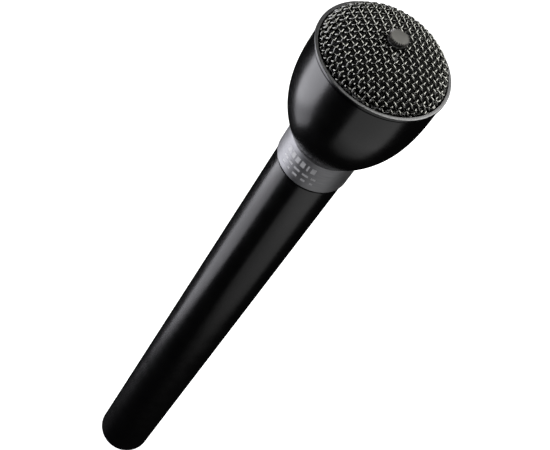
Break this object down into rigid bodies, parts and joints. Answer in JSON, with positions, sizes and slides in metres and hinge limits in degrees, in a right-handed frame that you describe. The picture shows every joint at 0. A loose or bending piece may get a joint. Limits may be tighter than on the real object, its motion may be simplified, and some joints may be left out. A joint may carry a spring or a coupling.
{
  "type": "dynamic interview microphone",
  "caption": "Long slim handheld microphone with a plated band, a flared round head and a domed woven-wire grille held by a thumb screw.",
  "frame": {"origin": "centre of the handle's lower end, on the plane of its rim", "axes": "+Z along the handle towards the grille; -X is the side of plug pin 1"},
  "size_m": [0.034, 0.034, 0.2389],
  "materials": {
    "black_enamel": "satin black enamel",
    "satin_nickel": "satin nickel plate",
    "black_wire": "blackened woven wire",
    "dark_foam": "open-cell foam",
    "steel": "plain steel",
    "magnet_grey": "magnet alloy",
    "copper": "enamelled copper wire",
    "film": "moulded polyester film",
    "rubber": "soft black rubber",
    "dark_plastic": "moulded phenolic",
    "red_sleeve": "red wire sleeve",
    "white_sleeve": "white wire sleeve",
    "grey_felt": "acoustic felt"
  },
  "bodies": {
    "microphone_body": {"handle_tube": "black_enamel", "head_shell": "black_enamel", "name_band": "satin_nickel", "neck_sleeve": "steel", "neck_nut": "steel", "grille_post": "steel", "yoke_cup": "steel", "magnet": "magnet_grey", "pole_piece": "steel", "top_plate": "steel", "diaphragm_ring": "dark_plastic", "clamp_ring": "dark_plastic", "element_housing": "dark_plastic", "resonator_plate": "dark_plastic", "front_felt": "grey_felt", "front_isolator": "rubber", "rear_isolator": "rubber", "connector_insert": "dark_plastic", "pin_1": "satin_nickel", "pin_2": "satin_nickel", "pin_3": "satin_nickel", "insert_lock_screw": "steel", "insert_gasket": "rubber", "ground_tab": "steel", "lead_hot": "red_sleeve", "lead_cold": "white_sleeve"},
    "grille": {"grille_mesh": "black_wire", "grille_hoop": "steel", "grille_foam": "dark_foam"},
    "screw_carrier": {"screw_washer": "steel"},
    "thumb_screw": {"grille_screw": "satin_nickel"},
    "moving_coil": {"diaphragm": "film", "voice_coil": "copper"}
  },
  "joints": [
    {"name": "grille_lift", "type": "slide", "parent": "microphone_body", "child": "grille", "axis": [0, 0, 1], "range_m": [0, 0.04]},
    {"name": "grille_screw_lift", "type": "slide", "parent": "grille", "child": "screw_carrier", "axis": [0, 0, 1], "range_m": [0, 0.003]},
    {"name": "grille_screw_turn", "type": "hinge", "parent": "screw_carrier", "child": "thumb_screw", "pos_m": [0, 0, 0.2385], "axis": [0, 0, 1], "range_deg": [0, 2160]},
    {"name": "diaphragm_travel", "type": "slide", "parent": "microphone_body", "child": "moving_coil", "axis": [0, 0, 1], "range_m": [-0.00025, 0.00025], "stiffness_N_per_m": 200}
  ],
  "couplings": [
    {"joint": "grille_screw_turn", "follows": "grille_screw_lift", "rad_per_m": 12566}
  ]
}
